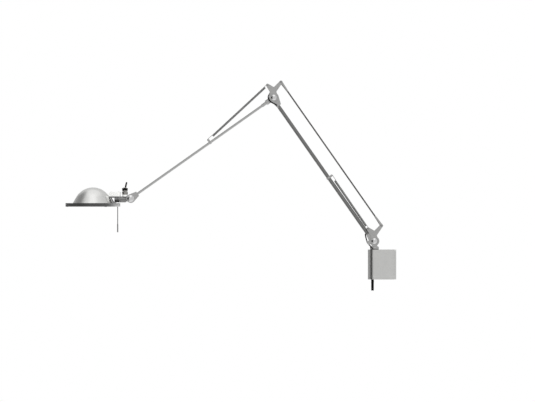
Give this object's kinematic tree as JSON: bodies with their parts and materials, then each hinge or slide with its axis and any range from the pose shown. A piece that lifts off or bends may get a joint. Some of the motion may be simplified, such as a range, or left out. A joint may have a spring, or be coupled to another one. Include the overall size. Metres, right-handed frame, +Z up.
{
  "type": "articulating wall lamp",
  "caption": "Sprung two-arm wall lamp with a swivelling wall bracket, a levelling tie rod, a tilting and rolling dished halogen head and a toggle switch.",
  "frame": {"origin": "centre of the wall plate's back face, midway between its two screw holes", "axes": "+X into the wall, +Z up; the lamp reaches out along -X, and its arms fold in the XZ plane"},
  "size_m": [0.6942, 0.115, 0.441],
  "materials": {
    "cast": "satin",
    "tube_dark": "satin",
    "tube_light": "satin",
    "bright": "polished",
    "steel": "satin",
    "black": "matte",
    "black_metal": "satin",
    "white": "satin",
    "ring_metal": "polished",
    "dome_metal": "satin",
    "reflector_metal": "polished",
    "ceramic": "matte",
    "glass": "clear",
    "rubber": "matte"
  },
  "bodies": {
    "bracket": {"wall_plate": "cast", "wall_bracket": "cast", "bottom_cap": "cast", "cap_screws": "steel", "lock_screw": "steel", "upper_bush": "black", "lower_bush": "black", "strain_relief": "rubber", "supply_lead": "rubber"},
    "swivel": {"swivel_spindle": "steel", "retaining_ring": "steel", "shoulder_bracket": "cast", "shoulder_pin": "steel", "shoulder_caps": "bright", "shoulder_spring_pin": "steel", "shoulder_rod_pin": "steel"},
    "lower_arm": {"lower_arm_foot": "cast", "lower_arm_tube": "tube_dark", "lower_arm_head": "cast", "lower_arm_lead": "rubber", "lower_spring_post": "cast", "shoulder_lead": "rubber", "elbow_lead": "rubber"},
    "lower_spring_wire": {"lower_spring": "bright"},
    "lower_spring_end": {"lower_spring_hook": "bright"},
    "tie_rod_link": {"tie_rod": "tube_dark", "tie_rod_ends": "tube_light"},
    "elbow_link": {"elbow_bracket": "cast", "elbow_pin": "steel", "elbow_caps": "bright", "elbow_spring_pin": "steel", "elbow_rod_pin": "steel"},
    "upper_arm": {"upper_arm_foot": "cast", "upper_arm_tube": "tube_light", "upper_arm_lead": "rubber", "upper_spring_post": "cast", "wrist_fork": "cast", "wrist_pin": "steel", "wrist_caps": "bright"},
    "upper_spring_wire": {"upper_spring": "bright"},
    "upper_spring_end": {"upper_spring_hook": "bright"},
    "wrist": {"switch_housing": "tube_dark", "roll_spindle": "bright", "switch_seat": "white", "switch_bush": "bright", "switch_nut": "black_metal"},
    "toggle": {"toggle_lever": "black"},
    "head": {"head_swivel": "black_metal", "head_bar": "black_metal", "terminal_cover": "white", "shade_ring": "ring_metal", "dome": "dome_metal", "reflector": "reflector_metal", "lamp_holder": "ceramic", "lamp_capsule": "glass", "glass_bezel": "ring_metal", "front_glass": "glass", "handle_rod": "bright", "handle_grip": "steel"}
  },
  "joints": [
    {"name": "pan", "type": "hinge", "parent": "bracket", "child": "swivel", "pos_m": [-0.0454, 0, 0.0314], "axis": [0, 0, 1], "range_deg": [-90, 90]},
    {"name": "shoulder", "type": "hinge", "parent": "swivel", "child": "lower_arm", "pos_m": [-0.0454, 0, 0.0492], "axis": [0, -1, 0], "range_deg": [0, 45], "deforming": ["lower_spring", "lower_spring_hook", "shoulder_lead", "elbow_lead"]},
    {"name": "elbow_level", "type": "hinge", "parent": "lower_arm", "child": "elbow_link", "pos_m": [-0.25648, 0, 0.35065], "axis": [0, -1, 0], "range_deg": [-45, 0]},
    {"name": "tie_rod_swing", "type": "hinge", "parent": "swivel", "child": "tie_rod_link", "pos_m": [-0.03048, 0, 0.08163], "axis": [0, -1, 0], "range_deg": [0, 45]},
    {"name": "elbow", "type": "hinge", "parent": "elbow_link", "child": "upper_arm", "pos_m": [-0.25648, 0, 0.35065], "axis": [0, -1, 0], "range_deg": [-35, 25], "deforming": ["upper_spring", "upper_spring_hook"]},
    {"name": "wrist_tilt", "type": "hinge", "parent": "upper_arm", "child": "wrist", "pos_m": [-0.55719, 0, 0.13852], "axis": [0, -1, 0], "range_deg": [-45, 60]},
    {"name": "head_roll", "type": "hinge", "parent": "wrist", "child": "head", "pos_m": [-0.585, 0, 0.13662], "axis": [-1, 0, 0], "range_deg": [-90, 90]},
    {"name": "toggle_throw", "type": "hinge", "parent": "wrist", "child": "toggle", "pos_m": [-0.56939, 0, 0.15712], "axis": [0, -1, 0], "range_deg": [0, 26]},
    {"name": "lower_spring_swing", "type": "hinge", "parent": "lower_arm", "child": "lower_spring_wire", "pos_m": [-0.13537, 0, 0.18641], "axis": [0, -1, 0], "range_deg": [0, 7.74]},
    {"name": "lower_spring_stretch", "type": "slide", "parent": "lower_spring_wire", "child": "lower_spring_end", "axis": [0.5663, 0, -0.8242], "range_m": [0, 0.01254]},
    {"name": "upper_spring_swing", "type": "hinge", "parent": "upper_arm", "child": "upper_spring_wire", "pos_m": [-0.39418, 0, 0.26134], "axis": [0, -1, 0], "range_deg": [-0.59, 0.83]},
    {"name": "upper_spring_stretch", "type": "slide", "parent": "upper_spring_wire", "child": "upper_spring_end", "axis": [0.7332, 0, 0.68], "range_m": [-0.01758, 0.01256]}
  ],
  "couplings": [
    {"joint": "elbow_level", "follows": "shoulder", "ratio": -1},
    {"joint": "tie_rod_swing", "follows": "shoulder", "ratio": 1},
    {"joint": "lower_spring_swing", "follows": "shoulder", "ratio": 0.1686},
    {"joint": "lower_spring_stretch", "follows": "shoulder", "m_per_rad": 0.01565},
    {"joint": "upper_spring_swing", "follows": "elbow", "ratio": -0.0232},
    {"joint": "upper_spring_stretch", "follows": "elbow", "m_per_rad": 0.02822}
  ]
}
